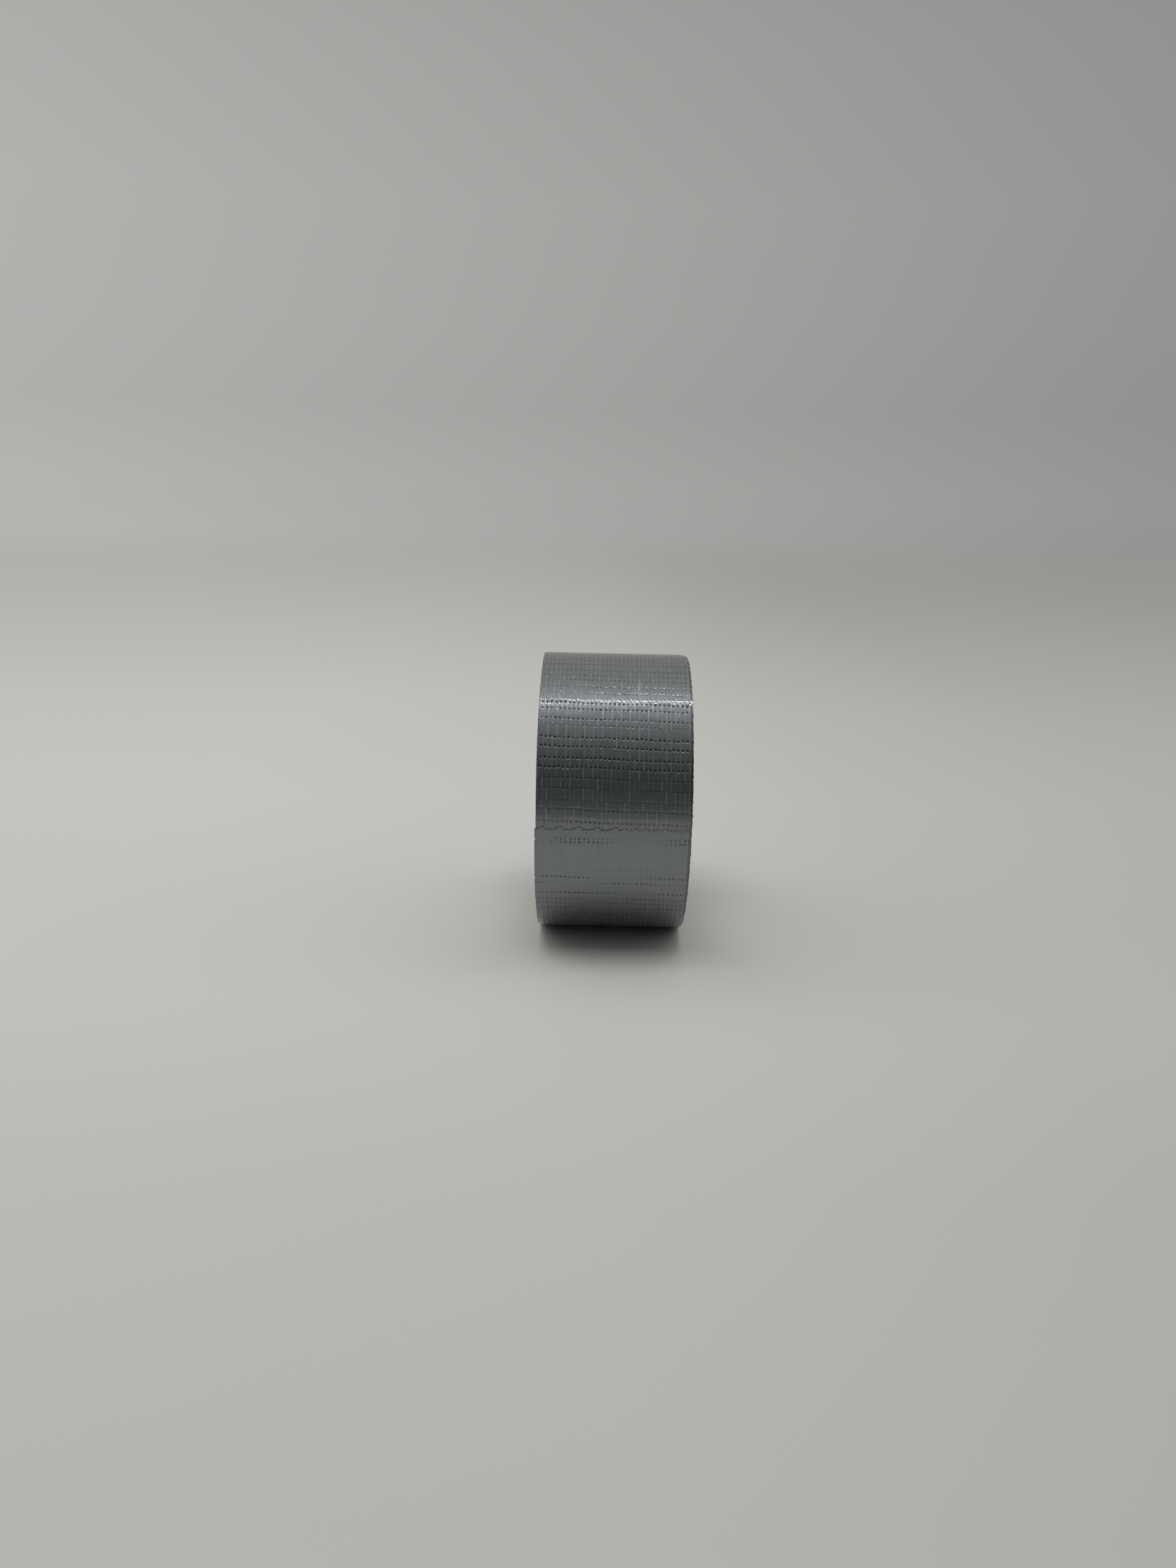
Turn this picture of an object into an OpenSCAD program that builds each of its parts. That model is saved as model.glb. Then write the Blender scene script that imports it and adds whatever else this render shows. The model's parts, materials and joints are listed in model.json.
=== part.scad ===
// Roll of cloth-backed duct tape, standing on its rim with its axis along X.
// A paper core wound from six plies carries the wound turns. The last turn shows its three layers,
// and its torn tail lies at the front, laid over the turn below and free to be peeled.
// Millimetres, +Z up, origin on the floor under the middle of the roll. The front is -Y.

/* [Tape] */
// Width of the tape
tape_w = 48; // [24:1:100]
// Length of tape on the roll, in metres
tape_length_m = 9.14; // [4:0.01:55]
// Thickness of the plastic film outside
film_t = 0.05; // [0.03:0.01:0.15]
// Thickness of the cloth scrim under the film
scrim_t = 0.05; // [0.03:0.01:0.15]
// Thickness of the adhesive under the scrim
adhesive_t = 0.08; // [0.03:0.01:0.15]

/* [Core] */
// Diameter of the core's bore
core_bore_d = 76.2; // [50:0.1:152.4]
// Thickness of one paper ply
ply_t = 0.55; // [0.3:0.05:1]
// Plies between the liner and the outer wrap
inner_plies = 4; // [2:1:6]
// Width of the paper strip that each ply is wound from
strip_w = 100; // [70:1:140]
// Open seam between the edges of a ply's strip
seam_w = 0.4; // [0.2:0.05:1]
// Turn from one ply's seam to the next one's
seam_step = 67; // [20:1:120]

/* [Tail] */
// Angle of the torn edge below the level of the roll's axis
torn_edge_drop = 0; // [-20:1:10]
// Length of the tail from its root to its torn edge
tail_len = 41; // [25:0.5:50]
// Part of the tail that lies over the end of the turn below
tail_lap = 2.5; // [1.5:0.1:5]
// Gap between the tail and the turn below
tail_gap = 0.06; // [0.03:0.01:0.2]
// Gap between two stretches of the tail
crease_gap = 0.06; // [0.02:0.01:0.2]

/* [Torn edge] */
// Spacing of the scrim yarns that run round the roll
yarn_pitch = 1.42; // [1:0.01:3]
// Yarns from one torn tab to the next
yarns_per_tab = 4; // [2:1:8]
// Distance of the first tab from the left edge of the tape
first_tab = 2.3; // [1.5:0.1:6]
// Width of a torn tab
tab_w = 1.9; // [1:0.1:2.5]
// Height of a torn tab
tab_h = 0.95; // [0.3:0.05:1.2]
// Share of the width, from the left, that tore in even tabs
tabbed_share = 0.55; // [0:0.05:1]
// Height of the ragged waves on the rest of the width
ragged_h = 0.6; // [0.2:0.05:1]

/* [Stand] */
// Depth of the flat that the roll stands on
flat_depth = 0.5; // [0.2:0.1:1]

/* [Hidden] */
$fn = 96;
tail_stretches = 5;

tape_t = film_t + scrim_t + adhesive_t;
core_r = core_bore_d / 2 + (inner_plies + 2) * ply_t;

// The wound tape fills a ring round the core, whose area is the tape's length times its thickness.
roll_r = sqrt(pow(core_r, 2) + 1000 * tape_length_m * tape_t / PI);
axis_z = roll_r - flat_depth;

// The spiral is drawn with two half circles, whose centres lie half a thickness apart. The half
// that follows the torn edge is the larger, so the turn below ends one thickness further in.
lower_r = roll_r - tape_t;
upper_r = lower_r - tape_t / 2;
lower_centre = -tape_t / 4;
upper_centre = tape_t / 4;

tail_r = lower_r + tail_gap;
lap_angle = tail_lap / tail_r * 180 / PI;
split_angle = 180 + torn_edge_drop + lap_angle;
stretch_angle = tail_len / tail_r * 180 / PI / tail_stretches;
root_angle = split_angle - lap_angle + tail_stretches * stretch_angle;
crease_angle = crease_gap / tail_r * 180 / PI;

tab_pitch = yarns_per_tab * yarn_pitch;
points_per_yarn = 4;
seam_slices = 30;
far = 4 * roll_r;
margin = 1;

echo(roll_diameter = 2 * roll_r, turns = (roll_r - core_r) / tape_t, least_tail_gap = tail_gap);

// Sets a drawing on the roll's axis: drawn right is back (+Y), drawn up is +Z, extruded along X.
module on_axis() {
    translate([0, 0, axis_z])
        rotate([90, 0, 90])
            children();
}

// A drawing extruded over the width of the tape.
module across_width() {
    on_axis()
        translate([0, 0, -tape_w / 2])
            linear_extrude(tape_w)
                children();
}

// A wedge from angle a to angle b about a point on the drawing's level line.
module sector(centre, a, b) {
    polygon([
        [centre, 0],
        [centre + far * cos(a), far * sin(a)],
        [centre + far * cos((a + b) / 2), far * sin((a + b) / 2)],
        [centre + far * cos(b), far * sin(b)]
    ]);
}

// Half a disc, on one side of the line that splits the spiral.
module half_disc(r, centre, side) {
    intersection() {
        translate([centre, 0])
            circle(r);
        translate([-far, side * far / 2 - far / 2])
            square([2 * far, far]);
    }
}

// What the tape covers up to a height s in the last turn, from 0 at its adhesive to its film.
module wound_disc(s) {
    intersection() {
        rotate(split_angle - 180)
            union() {
                half_disc(lower_r + s, lower_centre, -1);
                half_disc(upper_r + s, upper_centre, 1);
            }
        translate([-far, tape_t - s - axis_z])
            square([2 * far, far]);
    }
}

// One layer of the last turn, pressed flat under the roll, from the tail's root round to the lap.
module last_turn_layer(inside, outside) {
    across_width()
        difference() {
            wound_disc(outside);
            wound_disc(inside);
            rotate(split_angle - 180)
                sector(lower_centre, 180, root_angle - split_angle + 180 + crease_angle / 2);
        }
}

// Height of the torn edge at x above its lowest line: even tabs on the left, then ragged waves.
function tab_at(x) =
    let (from_first = x + tape_w / 2 - first_tab)
    let (u = abs(from_first - tab_pitch * round(from_first / tab_pitch)) / (tab_w / 2))
    u < 1 ? tab_h * sqrt(1 - pow(u, 2)) : 0;
function wave_at(x) =
    ragged_h * (0.5 + 0.3 * sin(360 * x / (2.3 * yarn_pitch)) + 0.2 * sin(360 * x / (5.1 * yarn_pitch)));
function torn_height(x) =
    x < tape_w * (tabbed_share - 0.5) ? tab_at(x) : wave_at(x);

// What lies below the torn edge, drawn on the front of the roll.
module below_torn_edge() {
    step = yarn_pitch / points_per_yarn;
    half = ceil(tape_w / 2 / step) * step;
    edge = [for (x = [-half:step:half + step / 2]) [x, torn_height(x) - tab_h]];
    rotate([split_angle - lap_angle - 180, 0, 0])
        rotate([90, 0, 0])
            linear_extrude(far)
                polygon(concat([[half, -far], [-half, -far]], edge));
}

// One layer of one stretch of the tail. The stretches count from the root to the torn edge.
module tail_layer(k, inside, outside) {
    start = root_angle - (k - 1) * stretch_angle - crease_angle / 2;
    end = root_angle - k * stretch_angle + crease_angle / 2;
    is_last = k == tail_stretches;
    reach = is_last ? end - lap_angle : end;
    intersection() {
        across_width()
            rotate(split_angle - 180)
                intersection() {
                    difference() {
                        translate([lower_centre, 0])
                            circle(tail_r + outside);
                        translate([lower_centre, 0])
                            circle(tail_r + inside);
                    }
                    sector(lower_centre, reach - split_angle + 180, start - split_angle + 180);
                }
        if (is_last)
            translate([0, 0, axis_z])
                below_torn_edge();
        else
            translate([-tape_w, -far, -far])
                cube([2 * tape_w, 2 * far, 2 * far]);
    }
}

// One ply of the core: a strip wound at a slant round the axis, so that its edges meet in one seam.
module core_ply(i) {
    r = core_bore_d / 2 + i * ply_t;
    girth = 2 * PI * (r + ply_t / 2);
    slant = asin(strip_w / girth);
    seam_turn = 360 * tape_w / (girth * tan(slant));
    on_axis()
        difference() {
            cylinder(h = tape_w, r = r + ply_t, center = true);
            cylinder(h = tape_w + margin, r = r, center = true);
            rotate(i * seam_step)
                linear_extrude(
                    tape_w + margin, center = true, twist = seam_turn, slices = seam_slices, segments = 4
                )
                    translate([r - ply_t / 2, 0])
                        square([2 * ply_t, seam_w / sin(slant)]);
        }
}

module core_liner() {
    color("#b49a74")
        core_ply(0);
}

module core_inner_ply(i) {
    color("#a3875f")
        core_ply(i);
}

module core_wrap() {
    color("#b49a74")
        core_ply(inner_plies + 1);
}

module wound_turns() {
    color("#75787b")
        across_width()
            difference() {
                wound_disc(0);
                circle(core_r);
            }
}

module last_turn_adhesive() {
    color("#cfc9b8")
        last_turn_layer(0, adhesive_t);
}

module last_turn_scrim() {
    color("#e4e1d8")
        last_turn_layer(adhesive_t, adhesive_t + scrim_t);
}

module last_turn_film() {
    color("#8c8f92")
        last_turn_layer(adhesive_t + scrim_t, tape_t);
}

module tail_adhesive(k) {
    color("#cfc9b8")
        tail_layer(k, 0, adhesive_t);
}

module tail_scrim(k) {
    color("#e4e1d8")
        tail_layer(k, adhesive_t, adhesive_t + scrim_t);
}

module tail_film(k) {
    color("#8c8f92")
        tail_layer(k, adhesive_t + scrim_t, tape_t);
}

core_liner();
for (i = [1:inner_plies])
    core_inner_ply(i);
core_wrap();
wound_turns();
last_turn_adhesive();
last_turn_scrim();
last_turn_film();
for (k = [1:tail_stretches])
    tail_adhesive(k);
for (k = [1:tail_stretches])
    tail_scrim(k);
for (k = [1:tail_stretches])
    tail_film(k);
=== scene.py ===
import json
import math

import bmesh
import bpy
import numpy as np
from mathutils import Matrix, Vector


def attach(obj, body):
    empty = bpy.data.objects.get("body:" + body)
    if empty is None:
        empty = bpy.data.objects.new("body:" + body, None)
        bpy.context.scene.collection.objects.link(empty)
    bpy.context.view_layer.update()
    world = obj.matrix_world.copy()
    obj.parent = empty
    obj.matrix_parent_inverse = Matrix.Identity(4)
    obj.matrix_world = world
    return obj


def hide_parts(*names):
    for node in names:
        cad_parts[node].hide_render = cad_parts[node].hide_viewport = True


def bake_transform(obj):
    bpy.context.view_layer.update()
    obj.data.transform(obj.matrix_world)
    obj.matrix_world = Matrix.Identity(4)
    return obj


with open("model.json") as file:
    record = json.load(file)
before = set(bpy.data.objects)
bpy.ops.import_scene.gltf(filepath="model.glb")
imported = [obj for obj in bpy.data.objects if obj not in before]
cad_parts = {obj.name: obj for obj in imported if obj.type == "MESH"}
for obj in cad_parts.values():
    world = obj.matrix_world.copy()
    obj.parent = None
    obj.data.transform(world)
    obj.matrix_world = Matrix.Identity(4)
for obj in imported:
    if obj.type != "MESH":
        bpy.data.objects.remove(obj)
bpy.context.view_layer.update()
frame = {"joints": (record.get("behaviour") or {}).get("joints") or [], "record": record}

MM = 0.001
TURN = 2 * math.pi
random = np.random.default_rng(7)

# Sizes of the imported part
MOUNTS = {mount["name"]: mount for mount in frame["record"]["mounts"]}
HINGES = [Vector(joint["pos_m"]) for joint in frame["joints"]]
AXIS_Z = MOUNTS["core_bore"]["pos_m"][2]
BORE_R = MOUNTS["core_bore"]["dims"]["r_mm"] * MM
TAPE_W = MOUNTS["core_bore"]["dims"]["length_mm"] * MM
FLAT_DEPTH = 0.5 * MM
ROLL_R = AXIS_Z + FLAT_DEPTH

# The tape's layers, from its outside
FILM_T = 0.05 * MM
SCRIM_T = 0.05 * MM
ADHESIVE_T = 0.08 * MM
TAPE_T = FILM_T + SCRIM_T + ADHESIVE_T

# The paper core
PLY_T = 0.55 * MM
PLIES = 6
STRIP_W = 100 * MM
SEAM_W = 0.4 * MM
SEAM_STEP = math.radians(67)
CORE_R = BORE_R + PLIES * PLY_T
PLY_GAP = 0.01 * MM
PLY_ROUNDING = 0.07 * MM
PLY_RIM_ANGLE = 1
PLY_FRAY = 0.03 * MM
PLY_FRAYED_W = 0.1 * MM
PLY_AROUND = 168
PLY_ALONG = 24

# The tape's places, as lengths along it from the tabs of its torn edge
ONE_TURN = TURN * ROLL_R
TAIL_ROOT = 41 * MM
TAIL_LAP = 2.5 * MM
STRETCH = TAIL_ROOT / len(HINGES)
ROOT_END = TAIL_ROOT + STRETCH / 2
SPLIT = ONE_TURN + TAIL_LAP
HALF_TURN_CUT = 0.45 * ONE_TURN
TOP_CUT = 0.755 * ONE_TURN
FRONT_CUT = 0.88 * ONE_TURN
UPPER_TURNS_END = ROOT_END + 4 * ONE_TURN

# The winding. The count of turns towards the floor goes up near the top, before a turn is full.
TAIL_GAP = 0.03 * MM
TAIL_GAP_END = TAIL_ROOT + 2 * MM
OUTER_LAP = 0.25
PRESSED_TURNS = 14
COUNT_EARLY = 0.2
FLOOR_SOFTNESS = 0.03 * MM

# Drift of the tape to the right of the roll's middle: turns since its torn end, and millimetres
OUTER_DRIFT = (
    (0, -0.29), (0.08, -0.28), (0.12, -0.12), (0.25, -0.1), (0.5, -0.2),
    (0.75, 0), (0.8, 0), (0.88, -0.12), (0.93, -0.08), (1.0, 0.04),
    (1.04, 0), (1.14, 0.05), (1.5, 0.22), (1.75, 0.36), (2.2, 0.3),
)

# Waves of the drift on the inner turns, which set in over a few turns: millimetres, rate and start
INNER_DRIFT = ((0.10, 2.33, 1), (0.06, 5.2, 2.2), (0.03, 10.7, 0))
INNER_DRIFT_TURNS = (1.5, 4)
MOST_DRIFT = 0.4 * MM

# Edges of the tape that sag, on the right at the top of the roll and on the left at its foot
SAG = 0.45 * MM
SAG_W = 2.2 * MM
SAG_ANGLE = 0.35
SAG_TOP = math.radians(268)
SAG_FOOT = math.radians(72)

# The weave under the film: warp yarns along the tape, weft yarns across it
WARP_PITCH = 1.42 * MM
FIRST_WARP = -TAPE_W / 2 + 0.45 * MM
WARPS = 34
WARP_SWAY = 0.05 * MM
WARP_SWAY_L = 9 * MM
WARP_SWAY_STEP = 1.7
WEFT_PITCH = 3.2 * MM
LEAST_WEFT_STEP = 0.8 * WEFT_PITCH
SPARE_WEFTS = 8
WEFT_SKEW = math.tan(math.radians(1.2))
WEFT_SKEWED = (50 * MM, 110 * MM)
WEFT_WAVE = 0.13 * MM
WEFT_WAVED = (3 * MM, 10 * MM)
WAVE_W = 31 * MM
WAVE_L = 40 * MM

# Ridges over the warp yarns. One that dives under a weft is low, and on the tail they are more even.
# Their tops also get a painted highlight.
RIDGE_H = 0.05 * MM
RIDGE_W = 0.125 * MM
LOW_RIDGE = 0.5
TAIL_RIDGE = 0.56
TAIL_RIDGE_SPREAD = 0.35
TAIL_RIDGE_WAVE = 0.1
TAIL_RIDGE_REACH = 4 * MM

# Half-moon pits between the warp yarns, deepest near their lower side, with a lip below. The pits get
# painted shade, less near their lower side, and the lips a painted highlight.
PIT_W = 1.06 * MM
PIT_TOP = 0.45 * MM
PIT_BOTTOM = 0.48 * MM
PIT_LEAST = 0.001 * MM
PIT_DEPTH = 0.11 * MM
PIT_FLOOR = 0.75
PIT_ROUNDNESS = 2.4
PIT_WALL = 0.6
PIT_SHADE = 3
PIT_SHADE_SIDES = (0.15, 0.6)
PIT_LIT = 0.6
PIT_LIT_FLOOR = (0.55, 0.95)
PIT_RIGHT = 0.04 * MM
PIT_STRAY_ACROSS = 0.05 * MM
PIT_STRAY_ALONG = 0.045 * MM
LIP_H = 0.08
LIP_W = 0.09 * MM
LIP_OFF = 0.06 * MM
LIP_ENDS = 0.3
LIP_GLEAM = 0.33
DEEPEST = 0.8 * TAPE_T

# Swell of the pits across a weft row
ROW_SWELL = 0.2
TAIL_SWELL = 0.75
SWELL_WARPS = 26

# Random sizes: mean, spread, least and most
WEFT_STEP_DRAW = (WEFT_PITCH, 0.3 * MM, LEAST_WEFT_STEP, 1.25 * WEFT_PITCH)
ROW_DEPTH_DRAW = (0.9, 0.15, 0.4, 1.2)
PIT_SIZE_DRAW = (1.0, 0.22, 0.3, 1.25)
RIDGE_SIZE_DRAW = (0.85, 0.3, 0.15, 1.4)

# Weft rows that the photograph shows: millimetres from the torn edge, and how deep their pits are
TAIL_ROWS = (
    (3.3, 0.4), (4.5, 0.6), (7.7, 0.12), (10.9, 0.1), (14.2, 0.25), (17.5, 0.85),
    (20.0, 0.65), (24.5, 1.0), (27.6, 0.75), (30.0, 1.0), (33.1, 0.85),
)
FRONT_ROWS = (
    (57.4, 0.7), (54.3, 0.8), (51.8, 0.9), (48.4, 0.95), (45.5, 0.6), (41.1, 1.0),
    (38.6, 0.9), (34.9, 0.8), (32.5, 0.45), (28.3, 1.15), (25.3, 0.95), (21.6, 1.1),
    (18.7, 1.1), (15.4, 0.75), (12.2, 0.75), (8.6, 0.75), (5.8, 1.1), (2.0, 0.6),
)

# The torn edge: even tabs on the left, then ragged waves
YARNS_PER_TAB = 4
FIRST_TAB = 2.3 * MM
TAB_W = 1.9 * MM
TAB_H = 0.95 * MM
TAB_ROUNDNESS = 2.6
TAB_RAMP = 0.3
TAB_SCALLOP = 0.12
TAB_NOTCH = 0.2
TAB_NOTCH_W = 0.13 * MM
TABBED_SHARE = 0.55
RAGGED_START = TAPE_W * (TABBED_SHARE - 0.5)
RAGGED_H = 0.6 * MM
RAGGED_EDGE_BLEND = 0.6 * MM
RAGGED_FILM_BLEND = 3 * MM
TORN_RISE = 0.6 * MM
TORN_REACH = 2.6 * MM

# The film at the torn edge: how far it tore back, and how it rolls down, steps and lifts there
BARED_LEAST = 0.05 * MM
BARED_SWELL = 0.2 * MM
BARED_SWELL_L = 6.1 * MM
BARED_SWELL_START = 4.455
BARED_TEETH = 0.06 * MM
BARED_TEETH_FINE = 0.9 * MM
BARED_TEETH_BROAD = 2.7 * MM
ROLLED_H = 0.1 * MM
ROLLED_W = 0.13 * MM
FILM_STEP_W = 0.04 * MM
LIFTED_H = 0.06 * MM
LIFTED_W = 0.55 * MM
LIFTED_BROAD = 3.1 * MM
LIFTED_FINE = 1.27 * MM

# The tape's cut edges, with nicks at some places along the left one
FRAY = 0.26 * MM
WOVEN_FRAY = 0.2 * FRAY
FRAYED_W = 0.4 * MM
FRAY_WAVE = 0.3
FRAY_FINE = 0.9 * MM
FRAY_BROAD = 2.3 * MM
YARN_END_W = 0.4 * MM
NICKS = (3.8 * MM, 18.0 * MM, 28.5 * MM)
NICK = 0.25 * MM
RIM_ROLL = 0.02 * MM
RIM_ROLL_W = 0.08 * MM

# Tones of the film: paler where it is scuffed, darker with painted shadow on the turn below just above
# the torn edge, and with painted shade along the torn edge and at its rims
SCUFF_TONE = 0.6
SCUFF_X = 7.7 * MM
SCUFF_ALONG = ONE_TURN - 48 * MM
SCUFF_W = 0.8 * MM
SCUFF_L = 4.2 * MM
FLECK_W = 0.13 * MM
FLECK_L = 0.35 * MM
FLECK_SLANT = 0.4 * MM
FLECK_BEND = 0.9 * MM
FLECK_PALE = (-0.7, 0.1)
# Painted shadow that the torn edge casts on the turn below
EDGE_SHADOW_TONE = 0.5
EDGE_SHADOW_W = 0.16 * MM
EDGE_SHADOW_OFF = 0.08 * MM
EDGE_SHADOW_FLATS = (-0.3 * MM, 0.2 * MM)
EDGE_SHADOW_LEAST = 0.25
EDGE_SHADOW_BETWEEN_TABS = 0.5
EDGE_SHADOW_RAGGED = 0.75
TORN_SHADE = 0.45
TORN_SHADE_W = (0.1 * MM, 0.28 * MM)
RIM_SHADE = 0.35
RIM_SHADE_W = (0.08 * MM, 0.3 * MM)

# Steps of the meshes. Columns are millimetres from a warp yarn, or from the tape's edge.
FINE_COLUMNS = (-0.33, -0.2, -0.1, 0, 0.1, 0.2, 0.33, 0.45, 0.58, 0.71, 0.84, 0.97)
PLAIN_COLUMNS = (-0.28, -0.13, 0, 0.13, 0.28, 0.49, 0.71, 0.93)
RIM_COLUMNS = (0, 0.03, 0.09)
RIM_CLEARANCE = 0.14 * MM
FINE_ROWS = 13
PLAIN_ROWS = 8
ROWS_FROM = -0.5 * MM
ROWS_TO = 0.6 * MM
WIDE_ROW_GAP = 1.6 * MM
ROWS_BETWEEN = 2
TORN_RIM_ROWS = (0.07 * MM, 0.14 * MM)
TORN_ROW = 0.11 * MM
TORN_ROW_COUNTS = range(2, 11)
# Close rows under the painted shadow of the torn edge
EDGE_SHADOW_ROW = 0.1 * MM
EDGE_SHADOW_ROW_COUNTS = range(-9, 12)
LEAST_ROW_GAP = 0.05 * MM
WOUND_RIM = 0.035 * MM
UPPER_TURNS_STEP = 0.4 * MM
INNER_TURNS_STEP = ONE_TURN / 180

SHARP_ANGLE = math.radians(50)
SAME_PLACE = 1e-9


def smooth(low, high, value):
    """0 below low, 1 above high, and an S curve between them."""
    share = np.clip((value - low) / (high - low), 0, 1)
    return share * share * (3 - 2 * share)


def bell(off, reach):
    """1 where off is 0, falling away on both sides."""
    return np.exp(-((off / reach) ** 2))


def ripple(place, length, start=0):
    """A sine wave of a given length."""
    return np.sin(TURN * place / length + start)


def drawn(shape, mean, spread, least, most):
    """Random sizes about a mean, held between two limits."""
    return np.clip(random.normal(mean, spread, shape), least, most)


# Winding the tape

def drift(turns):
    """How far the tape lies to the right of the roll's middle, by the turns since its torn end."""
    places, shifts = zip(*OUTER_DRIFT)
    outer = np.interp(turns, places, shifts)
    inner = sum(size * np.sin(rate * turns + start) for size, rate, start in INNER_DRIFT)
    return MM * (outer + inner * smooth(*INNER_DRIFT_TURNS, turns))


def droop(x, angle):
    """How far an edge of the tape sags where it stands past the turns below it."""
    angle = np.mod(angle, TURN)
    at_top = bell(angle - SAG_TOP, SAG_ANGLE)
    at_foot = bell(angle - SAG_FOOT, SAG_ANGLE)
    right = smooth(TAPE_W / 2 - SAG_W, TAPE_W / 2 + MOST_DRIFT, x)
    left = smooth(TAPE_W / 2 - SAG_W, TAPE_W / 2 + MOST_DRIFT, -x)
    return SAG * (at_top * right + at_foot * left)


def pressed(height, least):
    """A height that the floor keeps from going below the least one, with a soft corner."""
    over = height - least
    return least + 0.5 * (over + np.sqrt(over * over + FLOOR_SOFTNESS * FLOOR_SOFTNESS))


def wind(flat):
    """Winds a flat strip onto the roll. It lies along -Y from its torn end, with its film on top."""
    x, along, lift = flat[:, 0], -flat[:, 1], flat[:, 2]
    angle = along / ROLL_R
    turns = angle / TURN
    tail = 1 - smooth(TAIL_ROOT - STRETCH, TAIL_GAP_END, along)
    shifted = x + drift(turns)
    radius = ROLL_R + TAPE_T * (OUTER_LAP - turns) + TAIL_GAP * tail + lift - droop(shifted, angle)
    y = -radius * np.cos(angle)
    z = AXIS_Z - radius * np.sin(angle)
    below = np.floor(turns + COUNT_EARLY)
    least = TAPE_T * below - np.minimum(lift, 0) - FLAT_DEPTH * np.minimum(below / PRESSED_TURNS, 1)
    return np.stack([shifted, y, pressed(z, least)], axis=1)


# The weave's relief

def weft_rows():
    """Where the weft yarns cross the middle of the tape's outer turns, and how deep their pits are."""
    count = int(UPPER_TURNS_END / WEFT_PITCH) + SPARE_WEFTS
    rows = np.cumsum(drawn(count, *WEFT_STEP_DRAW))
    depths = drawn(count, *ROW_DEPTH_DRAW)
    front = tuple((ONE_TURN / MM - above, depth) for above, depth in FRONT_ROWS)
    seen = np.array(TAIL_ROWS + front)
    first = TAIL_ROWS[-1][0] * MM + LEAST_WEFT_STEP
    last = ONE_TURN - FRONT_ROWS[0][0] * MM - LEAST_WEFT_STEP
    free = (rows > first) & (rows < last) | (rows > ONE_TURN)
    rows = np.concatenate([rows[free], seen[:, 0] * MM])
    depths = np.concatenate([depths[free], seen[:, 1]])
    order = np.argsort(rows)
    return rows[order], depths[order]


ROWS, ROW_DEPTHS = weft_rows()
PIT_GRID = (WARPS + 1, len(ROWS))
PIT_SHIFT_X = random.normal(PIT_RIGHT, PIT_STRAY_ACROSS, PIT_GRID)
PIT_SHIFT_Y = random.normal(0, PIT_STRAY_ALONG, PIT_GRID)
PIT_SIZE = drawn(PIT_GRID, *PIT_SIZE_DRAW) * ROW_DEPTHS
RIDGE_SIZE = drawn((WARPS + 1, len(ROWS) + 1), *RIDGE_SIZE_DRAW)
YARN_ENDS = random.uniform(0, 1, (2, len(ROWS)))
SWELL_PLACES = np.arange(WARPS + 1)[:, None] / SWELL_WARPS + random.uniform(0, 1, len(ROWS))
PIT_SIZE *= 1 + np.where(ROWS < TAIL_ROOT, TAIL_SWELL, ROW_SWELL) * np.sin(TURN * SWELL_PLACES)


def lean(x, along):
    """How far the weft lies past its place in the tape's middle: it waves, and slopes past the tail."""
    slope = WEFT_SKEW * smooth(*WEFT_SKEWED, along)
    wave = WEFT_WAVE * np.sin(TURN * (x / WAVE_W + along / WAVE_L))
    return slope * x + wave * smooth(*WEFT_WAVED, along)


def nearest_row(level):
    """The weft row that is nearest to a place along the tape."""
    above = np.clip(np.searchsorted(ROWS, level) - 1, 0, len(ROWS) - 2)
    return np.where(level - ROWS[above] < ROWS[above + 1] - level, above, above + 1)


def half_moons(x, level):
    """The pits between the warp yarns at each weft row: their depth, the lip below, and the shade painted
    into them.
    """
    row = nearest_row(level)
    gap = np.clip(np.floor((x - FIRST_WARP) / WARP_PITCH).astype(int), -1, WARPS - 1) + 1
    across = x - FIRST_WARP - (gap - 0.5) * WARP_PITCH - PIT_SHIFT_X[gap, row]
    down = level - ROWS[row] - PIT_SHIFT_Y[gap, row] + PIT_TOP
    side = np.clip(1 - np.abs(2 * across / PIT_W) ** PIT_ROUNDNESS, 0, 1)
    height = (PIT_TOP + PIT_BOTTOM) * side + PIT_LEAST
    share = np.clip(down / height, 0, 1)
    pit = np.minimum(share / PIT_FLOOR, (1 - share) / (1 - PIT_FLOOR)) * side ** PIT_WALL
    lip = bell(down - height - LIP_OFF, LIP_W) * side ** LIP_ENDS
    lit = PIT_LIT * smooth(*PIT_LIT_FLOOR, share)
    shade = np.clip(PIT_SHADE * pit, 0, 1) * smooth(*PIT_SHADE_SIDES, side) * (1 - lit)
    return np.array([pit, lip, shade]) * PIT_SIZE[gap, row]


def ridges(x, along, level):
    """The ridges over the warp yarns, each high and low by turns from one weft row to the next."""
    warp = np.clip(np.round((x - FIRST_WARP) / WARP_PITCH).astype(int), 0, WARPS)
    off = x - FIRST_WARP - warp * WARP_PITCH
    off -= WARP_SWAY * ripple(level, WARP_SWAY_L, WARP_SWAY_STEP * warp)
    interval = np.searchsorted(ROWS, level)
    raised = np.where((warp + interval) % 2 == 0, 1, LOW_RIDGE) * RIDGE_SIZE[warp, interval]
    wave = TAIL_RIDGE_WAVE * np.sin(level / TAIL_RIDGE_REACH + 2 * warp)
    even = TAIL_RIDGE * (1 + TAIL_RIDGE_SPREAD * (RIDGE_SIZE[warp, 0] - 1) + wave)
    return bell(off, RIDGE_W) * np.where(along < TAIL_ROOT, even, raised)


def weave(x, along):
    """Height of the film, and its painted light: 0 for painted shade in a deep pit, 1 for a painted
    highlight on a high ridge.
    """
    level = along - lean(x, along)
    pit, lip, shade = half_moons(x, level)
    ridge = ridges(x, along, level)
    height = PIT_DEPTH * (LIP_H * lip - pit) + RIDGE_H * ridge
    standing = 0.5 + 0.5 * ridge + LIP_GLEAM * lip * (1 - ridge) - 0.5 * shade
    return height, standing


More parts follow.
